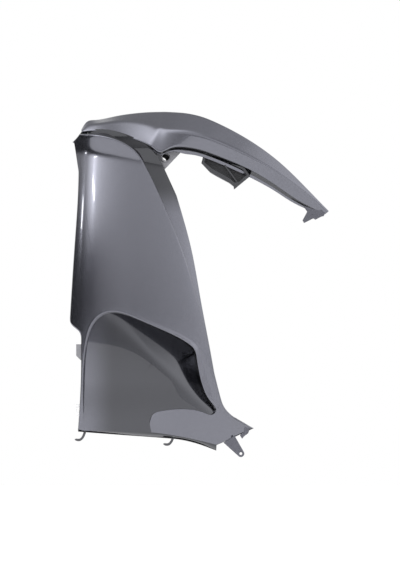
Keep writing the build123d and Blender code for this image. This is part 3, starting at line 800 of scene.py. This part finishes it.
def moulded(name, pale, dark, roughness, specular=0.5):
    """Bare injection-moulded plastic with a fine matt grain and faint flow marks."""
    finish = Finish(name)
    place = finish.node("TexCoord", {}, output="Object")
    speck = finish.node("TexNoise", {"Vector": place, "Scale": 900.0, "Detail": 2.0})
    flow = finish.node(
        "TexNoise", {"Vector": place, "Scale": 14.0, "Detail": 4.0, "Distortion": 1.5})
    base = finish.blend(flow * 0.8 + speck * 0.2, dark, pale)
    bump = finish.node("Bump", {"Strength": 0.15, "Distance": 0.0004, "Height": speck})
    return finish.set(
        Base_Color=base, Roughness=roughness + speck * 0.15, Specular_IOR_Level=specular,
        Normal=bump)


# The finishes stand in the order of their numbers. The whole part lies to the right of the places
# in everywhere, so the under band's lacquer is darkened all over as painted shade.
EVERYWHERE = ("X", -0.2, -0.19, 0.0, 1.0)
painted = mesh_of("painted_panel", grids, [
    lacquer("grey_lacquer"),
    moulded("bare_moulding", (0.075, 0.076, 0.08, 1), (0.05, 0.05, 0.054, 1), 0.5),
    # On the upper left edge tab this pale tone is a painted highlight, for the light the tab catches
    moulded("pale_moulding", (0.26, 0.26, 0.27, 1), (0.18, 0.18, 0.19, 1), 0.42),
    # The tongue's near-white tone is a painted highlight, for the light it catches
    moulded("white_painted_highlight", (0.8, 0.8, 0.79, 1), (0.66, 0.66, 0.65, 1), 0.45),
    moulded("dark_moulding", (0.075, 0.075, 0.08, 1), (0.045, 0.045, 0.05, 1), 0.45),
    # The slope under the arm: lacquer darkened towards the right as painted shade
    lacquer("slope_painted_shade", painted_shade=("X", -0.05, -0.015, 0.35, 0.95)),
    # The collar's bore: near black and almost without shine, as painted shadow inside the hole
    moulded("bore_painted_shadow", (0.02, 0.02, 0.022, 1), (0.01, 0.01, 0.011, 1), 0.85, specular=0.05),
    # The flange strip: lacquer darkened towards its top, under the arm, as painted shade
    lacquer("strip_painted_shade", painted_shade=("Z", -0.11, -0.05, 0.0, 1.0)),
    # The under band: lacquer darkened all over as painted shade
    lacquer("under_painted_shade", painted_shade=EVERYWHERE),
    # The scoop's floor: lacquer darkened from its left edge rightwards as painted shade, for the
    # shade under the lip
    lacquer("scoop_painted_shade", painted_shade=("X", -0.15, -0.09, 0.0, 0.85)),
])
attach(painted, "root")
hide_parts("side_panel")

# The lamp bracket behind the arm: a ribbed tray of unpainted black plastic with a slight shine,
# moulded apart and held to the arm's bosses by two screws.
black = moulded("black_plastic", (0.045, 0.047, 0.050, 1), (0.022, 0.022, 0.025, 1), 0.28)
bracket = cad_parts["lamp_bracket"]
bracket.data.materials.clear()
bracket.data.materials.append(black)

# Two self-tapping screws of zinc-plated steel, driven from behind through the bracket's ears. They
# have fine turning marks and a faint yellow tint.
zinc = Finish("zinc_plated_steel")
zinc_place = zinc.node("TexCoord", {}, output="Object")
marks = zinc.node("TexNoise", {"Vector": zinc_place, "Scale": 700.0, "Detail": 3.0})
zinc_base = zinc.blend(marks, (0.52, 0.51, 0.47, 1), (0.7, 0.7, 0.68, 1))
zinc.set(Base_Color=zinc_base, Metallic=1.0, Roughness=0.25 + marks * 0.2)
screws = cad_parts["bracket_screws"]
screws.data.materials.clear()
screws.data.materials.append(zinc.material)

# The studio: a pale floor, a white background behind the part, and air that is bright high on the
# left and dark low on the left. Two lamps give the sharp streaks in the lacquer, and two dark cards
# dim what the lower face and the underside of the arm mirror.
PHOTO_HEIGHT = 570
MM_PER_PIXEL = 1.8
CENTRE = np.array([61.6, 0, -230.0]) * MM
CAMERA_FAR = 7.0
FLOOR_Z = -0.80
FLOOR_HALF = 4.0


def flat_piece(name, centre, across, up, finish):
    """A four-cornered sheet from its middle and its two half sides."""
    centre, across, up = np.array(centre, float), np.array(across, float), np.array(up, float)
    corners = [centre - across - up, centre + across - up,
               centre + across + up, centre - across + up]
    mesh = bpy.data.meshes.new(name)
    mesh.from_pydata([tuple(c) for c in corners], [], [(0, 1, 2, 3)])
    mesh.materials.append(finish)
    piece = bpy.data.objects.new(name, mesh)
    bpy.context.scene.collection.objects.link(piece)
    return piece


def aim(azimuth, elevation):
    """The direction at an azimuth from straight in front, to the right, and an elevation."""
    turn, rise = np.radians([azimuth, elevation])
    return Vector((np.cos(rise) * np.sin(turn), -np.cos(rise) * np.cos(turn), np.sin(rise)))


def lamp(name, seen_from, azimuth, elevation, distance, size, radiance, roll=0.0):
    """A small rectangular light in a direction from a place on the part, turned to that place."""
    light = bpy.data.lights.new(name, "AREA")
    light.shape = "RECTANGLE"
    light.size, light.size_y = size
    light.energy = radiance * size[0] * size[1] * np.pi
    piece = bpy.data.objects.new(name, light)
    way = aim(azimuth, elevation)
    piece.location = Vector(seen_from) + way * distance
    turn = way.to_track_quat("Z", "Y") @ Quaternion((0, 0, 1), np.radians(roll))
    piece.rotation_euler = turn.to_euler()
    bpy.context.scene.collection.objects.link(piece)
    piece.visible_camera = False


CARD_SOLID = 0.4


def card(name, seen_from, azimuth, elevation, distance, size, cover=1.0):
    """A black card that only glossy reflections see, in a direction from a place on the part. It
    thins out from a share of its half size, where it is still solid, to its edges."""
    way = aim(azimuth, elevation)
    turn = way.to_track_quat("Z", "Y")
    centre = Vector(seen_from) + way * distance
    finish = Finish(name)
    place = finish.node("TexCoord", {}, output="Object")
    solid = cover
    halves = [turn @ Vector((size[0] / 2, 0, 0)), turn @ Vector((0, size[1] / 2, 0))]
    for half in halves:
        sockets = {0: place, 1: tuple(half / half.length_squared)}
        share = finish.node("VectorMath", sockets, output="Value", operation="DOT_PRODUCT")
        share = share - centre.dot(half) / half.length_squared
        solid = finish.ramp(share.math("ABSOLUTE", share), CARD_SOLID, 1.0, 1.0, 0.0) * solid
    finish.set(Base_Color=(0.01, 0.01, 0.012, 1), Roughness=1.0, Alpha=solid)
    piece = flat_piece(name, centre, *halves, finish.material)
    piece.visible_camera = piece.visible_diffuse = piece.visible_shadow = False


floor_finish = Finish("pale_floor")
speckle = floor_finish.node("TexNoise", {"Scale": 40.0, "Detail": 3.0})
floor_base = floor_finish.blend(speckle, (0.86, 0.86, 0.86, 1), (0.9, 0.9, 0.9, 1))
seen, mirrored, through = [floor_finish.ray(kind) for kind in ("Camera", "Glossy", "Transmission")]
glow = floor_finish.blend(seen + (mirrored + through) * 0.5, (0, 0, 0, 1), (1, 1, 1, 1))
floor_finish.set(Base_Color=floor_base, Roughness=0.9, Emission_Color=glow, Emission_Strength=0.6)
flat_piece(
    "floor", (0.06, 0, FLOOR_Z), (FLOOR_HALF, 0, 0), (0, FLOOR_HALF, 0), floor_finish.material)


class Air(Finish):
    """The world around the part, as a finish whose shader is the background."""

    def __init__(self, name):
        world = bpy.data.worlds.new(name)
        bpy.context.scene.world = world
        world.use_nodes = True
        self.material = world
        self.tree = world.node_tree
        self.shader = self.tree.nodes["Background"]
        self.way = self.node("TexCoord", {}, output="Generated")

    def towards(self, azimuth, elevation, sharpness):
        """How nearly a direction points this way: the cosine of the angle between, to a power."""
        sockets = {0: self.way, 1: tuple(aim(azimuth, elevation))}
        near = self.node("VectorMath", sockets, output="Value", operation="DOT_PRODUCT")
        near = near.math("MAXIMUM", near, 0.0)
        return near.math("POWER", near, sharpness)


# The air's brightness grows from below the part to above it, falls again overhead, and has four
# glows by azimuth, elevation, narrowness and strength. The low left is dark. What the camera sees
# is white, and so is what is mirrored from behind the part.
AIR_BELOW, AIR_ABOVE = 0.45, 1.12
OVERHEAD_LOSS = 0.45
LOW_LEFT_LOSS = 0.97
BLUE_TINT = 1.03
GLOWS = [(-52, 26, 11, 3.2), (-25, 60, 14, 1.9), (78, 32, 6, 0.8), (48, -8, 5, 0.5)]
air = Air("studio_air")
right, behind, high = [air.node("SeparateXYZ", {"Vector": air.way}, output=axis) for axis in "XYZ"]
level = air.ramp(high, -0.30, 0.30, AIR_BELOW, AIR_ABOVE)
level = level * (1 - air.ramp(high, 0.40, 0.90, 0.0, OVERHEAD_LOSS))
for azimuth, elevation, narrowness, strength in GLOWS:
    level = level + air.towards(azimuth, elevation, narrowness) * strength
low_left = (1 - air.ramp(high, 0.09, 0.25)) * (1 - air.ramp(right, -0.70, -0.10))
level = level * (1 - low_left * LOW_LEFT_LOSS)
grey = air.node("CombineXYZ", {"X": level, "Y": level, "Z": level * BLUE_TINT})
camera_ray, glossy_ray, transmission_ray = [
    air.ray(kind) for kind in ("Camera", "Glossy", "Transmission")]
white = camera_ray + (glossy_ray + transmission_ray) * air.ramp(behind, 0.5, 0.8)
white = white.math("MINIMUM", white, 1.0)
air.set(Color=air.blend(white, grey, (1, 1, 1, 1)), Strength=1.0)

# Each lamp and card is placed in a direction, in degrees, and at a distance from the place on the
# part that mirrors it
LEFT_FACE = (-0.13, -0.02, -0.05)
lamp("window_lamp", LEFT_FACE, -46, 15.2, 2.5, (0.42, 0.10), 18.0, roll=-14)
lamp("side_lamp", (-0.15, 0.01, -0.09), -92, 8.8, 2.5, (0.20, 0.17), 14.0)
card("right_card", (0.0, -0.02, -0.33), 54, 42, 1.6, (1.1, 1.4), cover=0.4)
card("under_card", (0.1, 0.02, 0.0), 170, -60, 0.78, (2.4, 1.0))

# The camera looks straight at the part from far off. Its lens is the one that fills the photo's
# height, at the photo's scale, from that distance.
SENSOR_HEIGHT = 36
camera_data = bpy.data.cameras.new("camera")
camera_data.sensor_fit = "VERTICAL"
camera_data.sensor_height = SENSOR_HEIGHT
camera_data.lens = SENSOR_HEIGHT * CAMERA_FAR / (PHOTO_HEIGHT * MM_PER_PIXEL * MM)
camera_data.clip_end = 60
camera = bpy.data.objects.new("camera", camera_data)
camera.location = (CENTRE[0], -CAMERA_FAR, CENTRE[2])
camera.rotation_euler = (np.pi / 2, 0, 0)
bpy.context.scene.collection.objects.link(camera)
bpy.context.scene.camera = camera
bpy.context.scene.view_settings.view_transform = "Standard"
